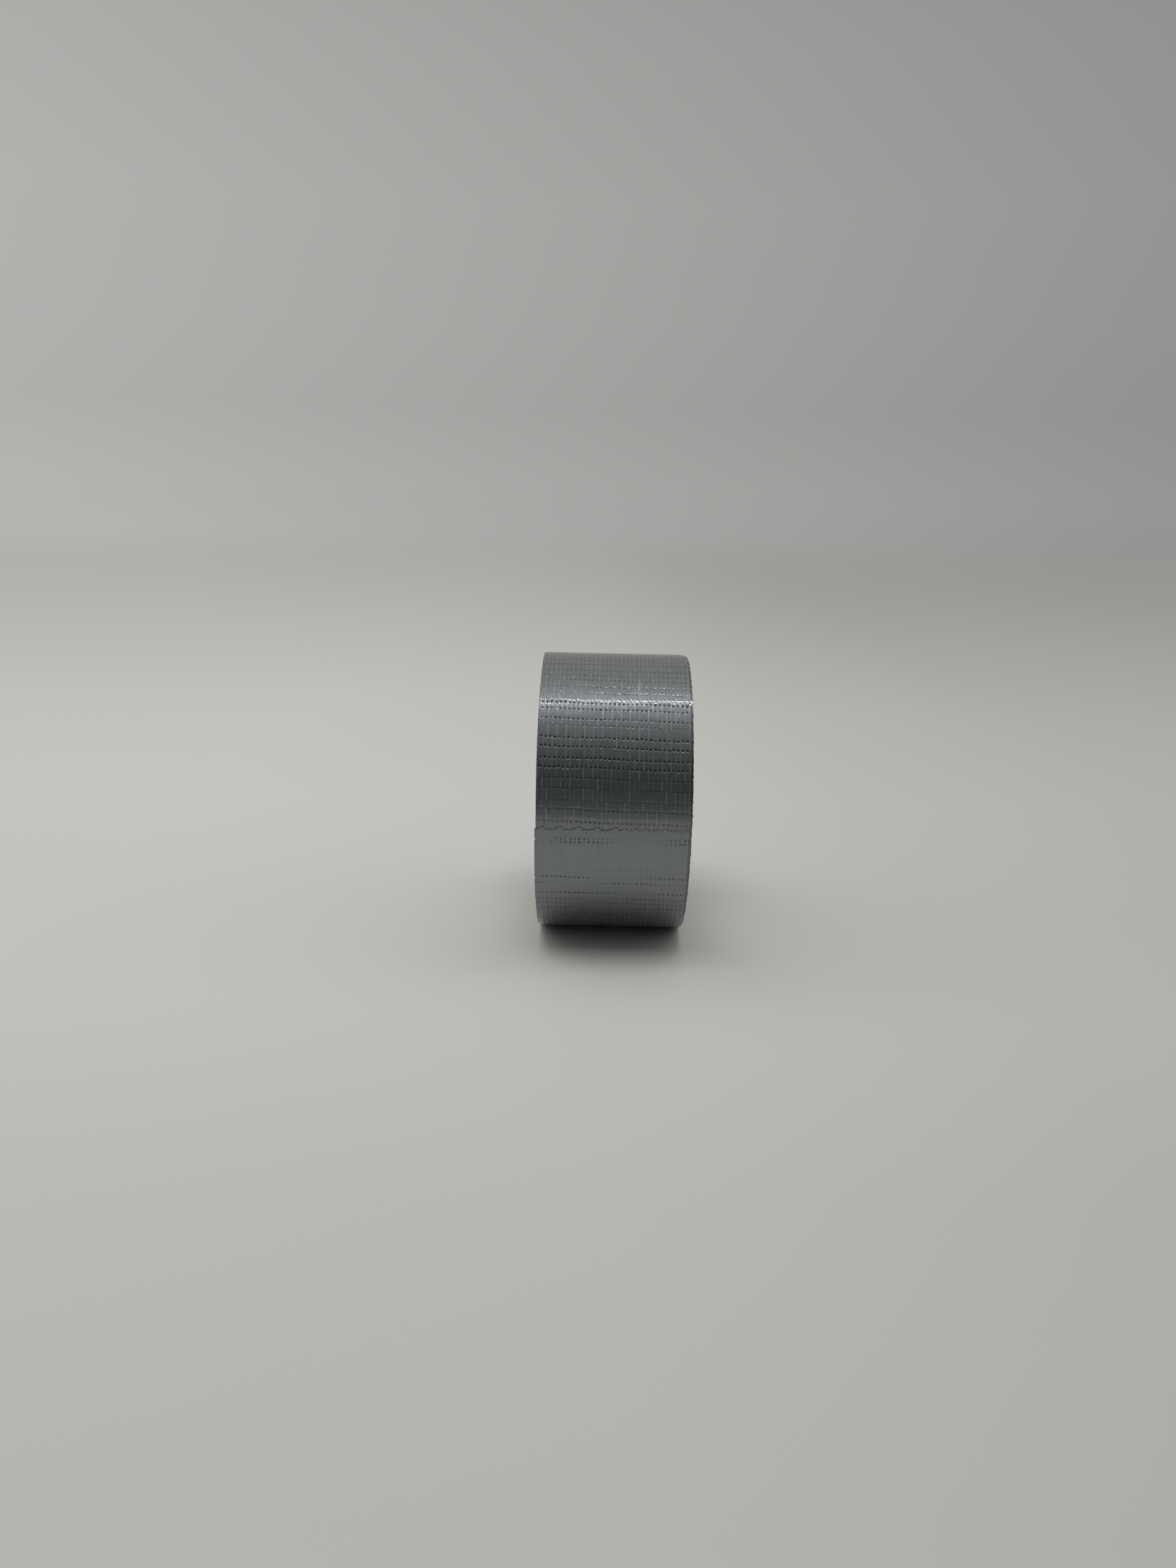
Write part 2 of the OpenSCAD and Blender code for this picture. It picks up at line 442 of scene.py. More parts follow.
def frayed(x, along):
    """How far the tape's cut edges stand out, most at the ends of the weft yarns, and its nicks go in."""
    row = nearest_row(along)
    side = (x > 0).astype(int)
    end = bell(along - ROWS[row], YARN_END_W) * YARN_ENDS[side, row]
    wave = FRAY_WAVE * np.sin(along / FRAY_FINE + 2 * side) * np.sin(along / FRAY_BROAD)
    edge = smooth(TAPE_W / 2 - FRAYED_W, TAPE_W / 2, np.abs(x))
    nick = sum(bell(along - place, NICK) for place in NICKS)
    return np.sign(x) * edge * (end + wave), NICK * edge * nick * (1 - side)


# The torn edge, the scuff on the film, and the painted shadow of the torn edge on the turn below

def ragged(x):
    """0 along the tabs of the torn edge, and 1 along its ragged part."""
    return smooth(0, RAGGED_FILM_BLEND, x - RAGGED_START)


def torn_tabs(x):
    """Even tabs: an arch with a ramp on its left, a notch on its right, and a scallop up to the next."""
    from_first = x + TAPE_W / 2 - FIRST_TAB
    pitch = YARNS_PER_TAB * WARP_PITCH
    from_tab = from_first - pitch * np.round(from_first / pitch)
    arch = np.clip(1 - np.abs(2 * from_tab / TAB_W) ** TAB_ROUNDNESS, 0, 1) ** 0.5
    ramp = TAB_RAMP * smooth(-1.6 * TAB_W, -0.5 * TAB_W, from_tab) * (from_tab < 0)
    scallop = TAB_SCALLOP * np.cos(TURN * (from_tab / pitch - 0.5))
    notch = TAB_NOTCH * bell(from_tab - TAB_W / 2, TAB_NOTCH_W)
    return TAB_H * (np.maximum(arch, ramp) - np.clip(scallop, 0, 1) - notch)


def torn_rags(x):
    """Ragged waves, whose lengths are counted in yarns."""
    yarns = x / WARP_PITCH
    broad = 0.3 * ripple(yarns, 2.3) + 0.2 * ripple(yarns, 5.1)
    uneven = 0.2 * ripple(yarns, 0.83, 1) * ripple(yarns, 3.7)
    fine = 0.12 * ripple(yarns, 0.39)
    return RAGGED_H * (0.5 + broad + uneven + fine)


def torn_edge(x):
    """How far the torn edge lies below the tops of its tabs: even tabs on the left, then ragged waves."""
    share = smooth(-RAGGED_EDGE_BLEND, RAGGED_EDGE_BLEND, x - RAGGED_START)
    return TAB_H - TORN_RISE - (1 - share) * torn_tabs(x) - share * torn_rags(x)


def bared(x):
    """How far the film tore back from the scrim along the ragged part of the torn edge."""
    swell = np.clip(ripple(x, BARED_SWELL_L, BARED_SWELL_START), 0, 1)
    teeth = ripple(x, BARED_TEETH_FINE) * ripple(x, BARED_TEETH_BROAD)
    return ragged(x) * (BARED_LEAST + BARED_SWELL * swell + BARED_TEETH * teeth)


def torn_lip(x, inside):
    """How the film rolls down over the torn edge, and steps up and lifts along the ragged part."""
    lifted = np.clip(ripple(x, LIFTED_BROAD) + 0.6 * ripple(x, LIFTED_FINE, 2), 0, 2)
    rolled = ROLLED_H * (1 - smooth(0, ROLLED_W, inside))
    step = FILM_T * ragged(x) * (1 - smooth(-FILM_STEP_W, FILM_STEP_W, inside - bared(x)))
    return LIFTED_H * ragged(x) * lifted * bell(inside, LIFTED_W) - rolled - step


def scuffed(x, along):
    """Where the film is rubbed pale: flecks down one short streak near the top of the roll."""
    across = np.sin(x / FLECK_W + 3 * np.sin(along / FLECK_BEND))
    flecks = across * np.sin(along / FLECK_L + x / FLECK_SLANT)
    streak = bell(x - SCUFF_X, SCUFF_W) * np.exp(-(((along - SCUFF_ALONG) / SCUFF_L) ** 4))
    return streak * smooth(*FLECK_PALE, flecks)


def painted_edge_shadow(x, along):
    """Painted shadow of the tail's torn edge, on the turn below just above the torn edge."""
    edge = torn_edge(x + drift(1) - drift(0))
    above = edge - (along - ONE_TURN)
    between_tabs = smooth(*EDGE_SHADOW_FLATS, edge) * (1 - ragged(x))
    strength = EDGE_SHADOW_LEAST + EDGE_SHADOW_BETWEEN_TABS * between_tabs + EDGE_SHADOW_RAGGED * ragged(x)
    return strength * bell(above - EDGE_SHADOW_OFF, EDGE_SHADOW_W)


# Strips of tape

def woven_columns(fine):
    """Places across the tape: close together over the warp yarns and across the pits."""
    steps = np.array(FINE_COLUMNS if fine else PLAIN_COLUMNS) * MM
    edge = np.array(RIM_COLUMNS) * MM
    warps = FIRST_WARP + np.arange(-1, WARPS + 1) * WARP_PITCH
    inside = (warps[:, None] + steps).ravel()
    inside = inside[np.abs(inside) < TAPE_W / 2 - RIM_CLEARANCE]
    return np.sort(np.concatenate([edge - TAPE_W / 2, inside, TAPE_W / 2 - edge]))


def woven_rows(start, end, fine):
    """Places along the tape from start to end: close together at each weft row and at the torn edge."""
    near = np.linspace(ROWS_FROM, ROWS_TO, FINE_ROWS if fine else PLAIN_ROWS)
    places = [start, end]
    if start == 0:
        places += [*TORN_RIM_ROWS, *(TORN_ROW * count for count in TORN_ROW_COUNTS)]
    if start < ONE_TURN < end:
        places += [ONE_TURN + EDGE_SHADOW_ROW * count for count in EDGE_SHADOW_ROW_COUNTS]
    for here, after in zip(ROWS[:-1], ROWS[1:]):
        places += list(here + near)
        if after - here > WIDE_ROW_GAP:
            places += list(np.linspace(here + near[-1], after + near[0], ROWS_BETWEEN + 2)[1:-1])
    places = np.array(sorted(p for p in places if start <= p <= end))
    keep = np.concatenate([[True], np.diff(places) > LEAST_ROW_GAP]) & (end - places > LEAST_ROW_GAP)
    return np.append(places[keep], end)


def middle_of_rows(along):
    """The place midway between two weft rows that is nearest to a length along the tape."""
    middles = (ROWS[:-1] + ROWS[1:]) / 2
    return middles[np.argmin(np.abs(middles - along))]


def flat_strip(columns, rows, both_faces):
    """A flat strip of tape with its thickness, which slopes with the weft. Its film is on top."""
    bm = bmesh.new()
    wide, long = len(columns) - 1, len(rows) - 1
    bmesh.ops.create_grid(bm, x_segments=wide, y_segments=long, size=0.5)
    leans = lean(columns, rows[:, None])
    for v in bm.verts:
        column = round((v.co.x + 0.5) * wide)
        row = round((0.5 - v.co.y) * long)
        v.co = (columns[column], -rows[row] - leans[row, column], 0)
    if both_faces:
        bmesh.ops.solidify(bm, geom=bm.verts[:] + bm.edges[:] + bm.faces[:], thickness=TAPE_T)
        top = max(v.co.z for v in bm.verts)
        bmesh.ops.translate(bm, verts=bm.verts[:], vec=(0, 0, -top))
    else:
        for side in (columns[0], columns[-1]):
            rim = [e for e in bm.edges if all(abs(v.co.x - side) < SAME_PLACE for v in e.verts)]
            made = bmesh.ops.extrude_edge_only(bm, edges=rim)["geom"]
            bmesh.ops.translate(
                bm, verts=[g for g in made if isinstance(g, bmesh.types.BMVert)], vec=(0, 0, -TAPE_T)
            )
        low = [e for e in bm.edges if all(v.co.z < -TAPE_T / 2 for v in e.verts)]
        bmesh.ops.bridge_loops(bm, edges=low)
        bmesh.ops.holes_fill(bm, edges=[e for e in bm.edges if e.is_boundary], sides=0)
    for depth in (FILM_T, FILM_T + SCRIM_T):
        walls = [f for f in bm.faces if abs(f.normal.z) < 0.5]
        parts = set(walls) | {e for f in walls for e in f.edges} | {v for f in walls for v in f.verts}
        bmesh.ops.bisect_plane(bm, geom=list(parts), plane_co=(0, 0, -depth), plane_no=(0, 0, 1))
    bmesh.ops.recalc_face_normals(bm, faces=bm.faces[:])
    for f in bm.faces:
        depth = -f.calc_center_median().z
        f.material_index = 0 if depth < FILM_T else 1 if depth < FILM_T + SCRIM_T else 2
        f.smooth = True
    return bm


def points_of(mesh):
    """The mesh's points as an array."""
    points = np.zeros(len(mesh.vertices) * 3)
    mesh.vertices.foreach_get("co", points)
    return points.reshape(-1, 3)


def piece(name, bm, *finishes):
    """A mesh object made from a bmesh, with its materials."""
    mesh = bpy.data.meshes.new(name)
    bm.to_mesh(mesh)
    bm.free()
    for finish in finishes:
        mesh.materials.append(finish)
    made = bpy.data.objects.new(name, mesh)
    bpy.context.scene.collection.objects.link(made)
    return made


def lay_map(mesh, flat):
    """Gives the mesh a UV map in millimetres: across the tape and along it."""
    corner = np.zeros(len(mesh.loops), int)
    mesh.loops.foreach_get("vertex_index", corner)
    place = np.stack([flat[corner, 0], -flat[corner, 1]], axis=1) / MM
    mesh.uv_layers.new(name="tape").uv.foreach_set("vector", place.ravel())


def bare_scrim(mesh, flat, inside):
    """Shows the scrim on the faces where the film tore back from it."""
    faces = len(mesh.polygons)
    index = np.zeros(faces, int)
    mesh.polygons.foreach_get("material_index", index)
    starts = np.zeros(faces, int)
    mesh.polygons.foreach_get("loop_start", starts)
    corner = np.zeros(len(mesh.loops), int)
    mesh.loops.foreach_get("vertex_index", corner)
    sums = np.add.reduceat(np.stack([flat[corner, 0], inside[corner]], axis=1), starts)
    middle = sums / np.diff(np.append(starts, len(corner)))[:, None]
    index[(index == 0) & (middle[:, 1] < bared(middle[:, 0]))] = 1
    mesh.polygons.foreach_set("material_index", index)


def finish_strip(strip, relief, fray):
    """Embosses a flat strip's film with the weave, tears its end, and winds it onto the roll."""
    mesh = strip.data
    flat = points_of(mesh)
    x, along = flat[:, 0], -flat[:, 1]
    edge = torn_edge(x)
    along = np.where(along < TORN_REACH, edge + along * (1 - edge / TORN_REACH), along)
    flat[:, 1] = -along
    lay_map(mesh, flat)
    bare_scrim(mesh, flat, along - edge)
    rim = TAPE_W / 2 - np.abs(x)
    woven, standing = weave(x, along)
    shape = torn_lip(x, along - edge) - RIM_ROLL * (1 - smooth(0, RIM_ROLL_W, rim))
    flat[:, 2] += np.maximum(relief * woven + shape, -DEEPEST) * np.clip(1 + flat[:, 2] / TAPE_T, 0, 1)
    # Painted light and wear: painted shade in the pits and painted highlights on the ridges and lips, the
    # pale scuff, and painted shade on the turn below the torn edge, along the torn edge and at the rims.
    standing = 0.5 + relief * (standing - 0.5)
    standing += SCUFF_TONE * scuffed(x, along) - EDGE_SHADOW_TONE * painted_edge_shadow(x, along)
    standing -= TORN_SHADE * (1 - smooth(*TORN_SHADE_W, along - edge - bared(x)))
    standing -= RIM_SHADE * (1 - smooth(*RIM_SHADE_W, rim))
    mesh.attributes.new("standing", "FLOAT", "POINT").data.foreach_set("value", np.clip(standing, 0, 1))
    outward, inward = frayed(x, along)
    flat[:, 0] += fray * outward + inward
    mesh.vertices.foreach_set("co", wind(flat).ravel())
    mesh.set_sharp_from_angle(angle=SHARP_ANGLE)
    mesh.update()
    return strip


# Shading

class Value:
    """A shader socket's value. Arithmetic on it adds Math nodes."""

    def __init__(self, finish, socket):
        self.finish = finish
        self.socket = socket

    def math(self, operation, *values):
        return self.finish.node("ShaderNodeMath", {"operation": operation}, dict(enumerate(values)))

    def __add__(self, other):
        return self.math("ADD", self, other)

    def __sub__(self, other):
        return self.math("SUBTRACT", self, other)

    def __rsub__(self, other):
        return self.math("SUBTRACT", other, self)

    def __mul__(self, other):
        return self.math("MULTIPLY", self, other)

    __radd__ = __add__
    __rmul__ = __mul__


class Finish:
    """A procedural material."""

    def __init__(self, name, tree=None):
        if tree is None:
            self.material = bpy.data.materials.new(name)
            self.material.use_nodes = True
            tree = self.material.node_tree
        self.tree = tree
        tree.nodes.clear()

    def node(self, kind, settings=None, inputs=None, output=0):
        """A node of a kind. Its settings are set first, then its sockets are given values or links."""
        made = self.tree.nodes.new(kind)
        for name, value in (settings or {}).items():
            if name == "stops":
                self.set_stops(made.color_ramp, value)
            else:
                setattr(made, name, value)
        for name, value in (inputs or {}).items():
            if isinstance(value, Value):
                self.tree.links.new(value.socket, made.inputs[name])
            else:
                made.inputs[name].default_value = value
        return Value(self, made.outputs[output]) if made.outputs else made

    def set_stops(self, ramp, stops):
        while len(ramp.elements) < len(stops):
            ramp.elements.new(1)
        for element, (place, tone) in zip(ramp.elements, stops):
            element.position = place
            element.color = (tone, tone, tone, 1)

    def tape_map(self, across=1, along=1):
        """The tape's own map in millimetres, stretched by the two scales."""
        uv = self.node("ShaderNodeUVMap", {"uv_map": "tape"})
        return self.node("ShaderNodeMapping", None, {"Vector": uv, "Scale": (across, along, 1)})

    def object_map(self, scale=(1000, 1000, 1000)):
        """Object coordinates, in millimetres unless another scale is given."""
        place = self.node("ShaderNodeTexCoord", None, None, "Object")
        return self.node("ShaderNodeMapping", None, {"Vector": place, "Scale": scale})

    def noise(self, vector, scale, detail=2.0, roughness=0.5):
        return self.node(
            "ShaderNodeTexNoise",
            None,
            {"Vector": vector, "Scale": scale, "Detail": detail, "Roughness": roughness},
        )

    def part(self, vector, axis):
        """One part of a vector: X, Y or Z."""
        return self.node("ShaderNodeSeparateXYZ", None, {"Vector": vector}, axis)

    def attribute(self, name):
        """A value that the mesh's points carry."""
        return self.node("ShaderNodeAttribute", {"attribute_name": name}, None, "Fac")

    def fade(self, value, low, high):
        """0 below low, 1 above high, and an S curve between them."""
        return self.node(
            "ShaderNodeMapRange", {"interpolation_type": "SMOOTHSTEP"}, {0: value, 1: low, 2: high}
        )

    def ramp(self, value, *stops):
        return self.node("ShaderNodeValToRGB", {"stops": stops}, {"Fac": value})

    def blend(self, share, first, second):
        return self.node("ShaderNodeMix", {"data_type": "RGBA"}, {0: share, 6: first, 7: second}, 2)

    def bump(self, height, distance, strength=1.0):
        return self.node(
            "ShaderNodeBump", None, {"Height": height, "Distance": distance, "Strength": strength}
        )

    def surface(self, **sockets):
        """The Principled shader with these sockets, wired to the output."""
        inputs = {name.replace("_", " "): value for name, value in sockets.items()}
        shader = self.node("ShaderNodeBsdfPrincipled", None, inputs)
        self.node("ShaderNodeOutputMaterial", None, {"Surface": shader})
        return self.material


def silver_film():
    """Grey film with fine aluminium pigment, drawn along the tape, and a thin clear gloss."""
    film = Finish("silver_film")
    streaks = film.noise(film.tape_map(3.0, 0.05), 1.0, 3.0)
    mottle = film.noise(film.tape_map(), 0.22, 3.0)
    crinkle = film.noise(film.tape_map(1.0, 1.4), 2.2, 2.0)
    swell = film.noise(film.tape_map(1.0, 0.7), 0.3, 1.0)
    across = film.part(film.tape_map(), "X")
    from_middle = across.math("ABSOLUTE", across)
    handled = film.ramp(from_middle * (2 * MM / TAPE_W), (0.35, 0.2), (0.7, 1.0))
    tone = 0.65 * streaks + 0.35 * mottle
    colour = film.blend(
        film.ramp(tone, (0.3, 0.0), (0.7, 1.0)), (0.160, 0.177, 0.188, 1), (0.196, 0.216, 0.229, 1)
    )
    standing = film.attribute("standing")
    # Painted shade: darker in the pits, on the turn below the torn edge, along the torn edge and at the
    # rims.
    colour = film.blend(film.ramp(standing, (0.0, 0.97), (0.47, 0.0)), colour, (0.03, 0.034, 0.037, 1))
    # Painted highlight on the ridges and on the lips below the pits, and paler where the film is scuffed.
    colour = film.blend(film.ramp(standing, (0.6, 0.0), (1.0, 0.7)), colour, (0.42, 0.44, 0.45, 1))
    metal = film.ramp(standing, (0.6, 0.8), (1.0, 0.5))
    gloss = film.ramp(standing, (0.0, 0.6), (0.48, 0.78), (0.52, 0.78), (0.75, 0.3))
    return film.surface(
        Base_Color=colour,
        Metallic=metal,
        Roughness=0.27 + 0.08 * mottle,
        Coat_Weight=gloss,
        Coat_Roughness=0.035,
        Coat_IOR=1.95,
        Normal=film.bump(0.04 * crinkle * handled + 0.08 * swell, MM),
    )


def scrim_cloth():
    """Off-white cotton yarn, cut or torn."""
    cloth = Finish("scrim_cloth")
    fibre = cloth.noise(cloth.object_map(), 9.0, 3.0)
    colour = cloth.blend(fibre, (0.26, 0.26, 0.25, 1), (0.46, 0.455, 0.43, 1))
    return cloth.surface(Base_Color=colour, Roughness=0.9, Normal=cloth.bump(fibre, 0.02 * MM))


def tacky_adhesive():
    """Pale grey rubber adhesive, in which the scrim shows as paler yarns and darker holes."""
    gum = Finish("tacky_adhesive")
    patch = gum.noise(gum.tape_map(), 0.6, 4.0)
    standing = gum.attribute("standing")
    colour = gum.blend(patch, (0.36, 0.355, 0.33, 1), (0.50, 0.49, 0.46, 1))
    # The paler yarns and darker holes follow the film's tone with its painted light, so the adhesive is
    # also darker along the torn edge, where the film has painted shade.
    colour = gum.blend(gum.ramp(standing, (0.52, 0.0), (0.85, 0.8)), colour, (0.66, 0.65, 0.61, 1))
    colour = gum.blend(gum.ramp(standing, (0.0, 0.75), (0.14, 0.0)), colour, (0.2, 0.196, 0.183, 1))
    relief = 0.03 * patch + 0.06 * standing
    return gum.surface(Base_Color=colour, Roughness=0.28 + 0.2 * patch, Normal=gum.bump(relief, MM))


def kraft_board(name, light, dark):
    """Brown paper board with long fibres and specks."""
    board = Finish(name)
    fibre = board.noise(board.object_map((300, 1500, 1500)), 1.0, 4.0, 0.6)
    blotch = board.noise(board.object_map((90, 90, 90)), 1.0, 2.0)
    speck = board.ramp(board.noise(board.object_map(), 1.6, 1.0), (0.68, 0.0), (0.74, 1.0))
    colour = board.blend(0.6 * fibre + 0.4 * blotch, dark, light)
    colour = board.blend(0.5 * speck, colour, (0.10, 0.07, 0.045, 1))
    return board.surface(Base_Color=colour, Roughness=0.85, Normal=board.bump(fibre, 0.05 * MM))


FILM = silver_film()
SCRIM = scrim_cloth()
ADHESIVE = tacky_adhesive()
LINER_BOARD = kraft_board("liner_board", (0.46, 0.34, 0.21, 1), (0.33, 0.235, 0.14, 1))
INNER_BOARD = kraft_board("inner_board", (0.36, 0.26, 0.16, 1), (0.25, 0.175, 0.105, 1))


# The tape

def tape_piece(name, start, end, both_faces=False, fine=False):
    """A woven stretch of the tape between two lengths along it, wound in its place."""
    flat = flat_strip(woven_columns(fine), woven_rows(start, end, fine), both_faces)
    strip = piece(name, flat, FILM, SCRIM, ADHESIVE)
    return finish_strip(strip, 1, WOVEN_FRAY)


def wound_piece(name, start, end, step):
    """Several turns of plain tape, of which only the edges show."""
    edge = np.array([0, WOUND_RIM])
    columns = np.concatenate([edge - TAPE_W / 2, TAPE_W / 2 - edge[::-1]])
    rows = np.linspace(start, end, round((end - start) / step) + 1)
    strip = piece(name, flat_strip(columns, rows, False), FILM, SCRIM, ADHESIVE)
    return finish_strip(strip, 0, FRAY)


def lay_wound_tape():
    """The turns under the last one, and the last turn, all on the roll."""
    inner_end = ONE_TURN * ((ROLL_R - TAPE_T - CORE_R) / TAPE_T + OUTER_LAP)
    under_end = middle_of_rows(ROOT_END + ONE_TURN)
    under = tape_piece("turn_under_tail", middle_of_rows(SPLIT), under_end)
    upper = wound_piece("upper_turns", under_end, UPPER_TURNS_END, UPPER_TURNS_STEP)
    inner = wound_piece("inner_turns", UPPER_TURNS_END, inner_end, INNER_TURNS_STEP)
    for made in (under, upper, inner):
        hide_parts("wound_turns")
        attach(made, "roll")
    cuts = [middle_of_rows(cut) for cut in (ROOT_END, HALF_TURN_CUT, TOP_CUT, FRONT_CUT, SPLIT)]
    names = ("last_turn_under", "last_turn_back", "last_turn_top", "last_turn_front")
    for name, start, end in zip(names, cuts[:-1], cuts[1:]):
        made = tape_piece(name, start, end, fine=start > HALF_TURN_CUT + 2 * WEFT_PITCH)
        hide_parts("last_turn_film", "last_turn_scrim", "last_turn_adhesive")
        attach(made, "roll")


def lay_tail():
    """The tail, cut between its hinges into strips. The strip past the last hinge goes with the last
    stretch; the others stay where they are wound.
    """
    cuts = [middle_of_rows(ROOT_END)]
    cuts += [middle_of_rows(TAIL_ROOT - (k + 0.5) * STRETCH) for k in range(len(HINGES))]
    for k, (end, start) in enumerate(zip(cuts, cuts[1:] + [0.0]), 1):
        made = tape_piece(f"tail_strip_{k}", start, end, both_faces=True, fine=k > len(HINGES))
        stretch = min(k, len(HINGES))
        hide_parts(*(f"tail_{layer}_{stretch}" for layer in ("film", "scrim", "adhesive")))
        if k > len(HINGES):
            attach(made, f"tail_{stretch}")
        else:
            middle = wind(np.array([[0, -end, -TAPE_T / 2], [0, -start, -TAPE_T / 2]]))
            first = HINGES[0] if k == 1 else Vector(middle[0])
            "roll" if k == 1 else f"tail_{k - 1}"
            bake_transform(made)


# The core

def core_ply(index, name, node, board):
    """A strip of board wound at a slant into a tube, whose edges meet in one open seam."""
    inner_r = BORE_R + index * PLY_T
    girth = TURN * (inner_r + PLY_T / 2)
    slant = math.asin(STRIP_W / girth)
    seam_slope = TURN / (girth * math.tan(slant))
    seam = SEAM_W / math.sin(slant) / inner_r
    bm = bmesh.new()
    bmesh.ops.create_grid(bm, x_segments=PLY_AROUND, y_segments=PLY_ALONG, size=0.5)
    bmesh.ops.scale(bm, verts=bm.verts[:], vec=(girth, TAPE_W, 1))
    bmesh.ops.solidify(bm, geom=bm.verts[:] + bm.edges[:] + bm.faces[:], thickness=PLY_T - PLY_GAP)
    bmesh.ops.recalc_face_normals(bm, faces=bm.faces[:])
    rims = [e for e in bm.edges if e.is_manifold and e.calc_face_angle(0) > PLY_RIM_ANGLE]
    bmesh.ops.bevel(
        bm, geom=rims, offset=PLY_ROUNDING, affect="EDGES", segments=2, profile=0.5, material=-1
    )
    low = min(v.co.z for v in bm.verts)
    for v in bm.verts:
        x = v.co.y
        share = v.co.x / girth + 0.5
        start = index * SEAM_STEP - seam_slope * (x + TAPE_W / 2)
        angle = start + seam + share * (TURN - seam)
        fray = PLY_FRAY * math.sin(37 * angle + 5 * index) * math.sin(11 * angle + index)
        radius = inner_r + v.co.z - low
        if abs(x) > TAPE_W / 2 - PLY_FRAYED_W:
            x += math.copysign(1, x) * fray
        v.co = (x, radius * math.cos(angle), AXIS_Z + radius * math.sin(angle))
    for f in bm.faces:
        f.smooth = True
    made = piece(name, bm, board)
    made.data.set_sharp_from_angle(angle=SHARP_ANGLE)
    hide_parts(node)
    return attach(made, "roll")


def wind_core():
    """The core: a liner, the inner plies and an outer wrap."""
    core_ply(0, "liner_paper", "core_liner", LINER_BOARD)
    for index in range(1, PLIES - 1):
        core_ply(index, f"ply_paper_{index}", f"core_ply_{index}", INNER_BOARD)
    core_ply(PLIES - 1, "wrap_paper", "core_wrap", LINER_BOARD)


# Stage, camera and light

PHOTO_H = 2212
FOCAL_PX = 1600
SENSOR = 36
VIEW_DISTANCE = 396 * MM
VIEW_HEIGHT = math.radians(15)
VIEW_TILT = math.radians(14.75)
VIEW_ROLL = math.radians(1.15)
VIEW_LEFT = 4.9 * MM
VIEW_YAW = math.radians(0.53)

FLOOR_R = 6
FAR_FLOOR = (0.5, 3.5)
ROOM_COLOUR = (1, 0.995, 0.97, 1)
HORIZON = 0.40
LEFT_GLOW = 0.44
GLOW_LEVEL = 0.95
GLOW_REACH = 0.45
SIDE_DIM = 0.4
ROOM_SIDES = (0.35, 0.9)
ROOM_RAISED = (0.1, 0.6)
ROOM_BEHIND = (0.0, 0.3)
FLAG_W, FLAG_H = 1.8, 0.24
FLAG_Y = -0.37
TUBES = (-0.002, -0.060)
TUBE_Z = 1.1
TUBE_SIZE = (1.2, 0.006)
TUBE_WATTS = 0.6
TUBE_YAW = math.radians(13)

# Lamps: place, size, watts and turn
SIDE_LAMP = ((-1.2, 0.7, 1.5), (1.4, 1.4), 2.5, (0.35, -0.6, 0))
SOFTBOX = ((-0.05, -0.38, 1.2), (0.6, 0.6), 3.2, (-0.3, 0, 0))

# Brightness of the room by the angle from the front horizon up and over to the back one
ROOM_TONES = (
    (0.0, 0.05),
    (0.14, 0.06),
    (0.19, 0.09),
    (0.24, 0.15),
    (0.30, 0.235),
    (0.37, 0.36),
    (0.44, 0.54),
    (0.50, 0.74),
    (0.60, 0.68),
    (0.70, 0.42),
    (0.80, 0.27),
    (1.0, 0.18),
)

# How pale the floor is, with painted light that makes it paler to the left and to the back: metres to the
# right of its left mark, and to the back of its front mark
FLOOR_LEFT = 0.5
FLOOR_FRONT = 0.3
FLOOR_RIGHTWARDS = ((0.3, 1.0), (0.5, 0.74), (0.62, 0.3), (0.8, 0.0))
FLOOR_BACKWARDS = ((0.05, 0.0), (0.13, 0.18), (0.22, 0.49), (0.3, 0.58), (0.46, 0.85), (0.7, 1.0))

# Brightness of the flag from its foot up: painted shade, paler at its foot as a painted reflection
# blending into the floor
FLAG_TONES = ((0.0, 0.45), (0.18, 0.27), (0.32, 0.19), (0.6, 0.13), (0.8, 0.11))

# Brightness of the wall by the height of a ray's direction
WALL_TONES = (
    (0.0, HORIZON),
    (0.06, 0.375),
    (0.13, 0.385),
    (0.21, 0.39),
    (0.31, 0.37),
    (0.40, 0.34),
    (0.65, 0.44),
    (0.85, 0.53),
    (1.0, 0.66),
)


def set_camera():
    """The camera at the photograph's place: in front of the roll, a little above it and to its left."""
    data = bpy.data.cameras.new("camera")
    data.sensor_width = SENSOR
    data.lens = FOCAL_PX / PHOTO_H * SENSOR
    data.clip_start = 0.01
    camera = bpy.data.objects.new("camera", data)
    bpy.context.scene.collection.objects.link(camera)
    place = Matrix.Translation(
        (
            -VIEW_LEFT,
            -VIEW_DISTANCE * math.cos(VIEW_HEIGHT),
            AXIS_Z + VIEW_DISTANCE * math.sin(VIEW_HEIGHT),
        )
    )
    tilt = Matrix.Rotation(math.pi / 2 - VIEW_TILT, 4, "X")
    yaw = Matrix.Rotation(VIEW_YAW, 4, "Z")
    camera.matrix_world = place @ yaw @ tilt @ Matrix.Rotation(VIEW_ROLL, 4, "Z")
    bpy.context.scene.camera = camera


def left_glow(sideways):
    """A factor by how far a direction points to the right: more than 1 on the left, which is paler."""
    limited = sideways.math("MAXIMUM", sideways, -GLOW_REACH)
    rightwards = limited.math("MINIMUM", limited, GLOW_REACH)
    return GLOW_LEVEL - LEFT_GLOW * rightwards


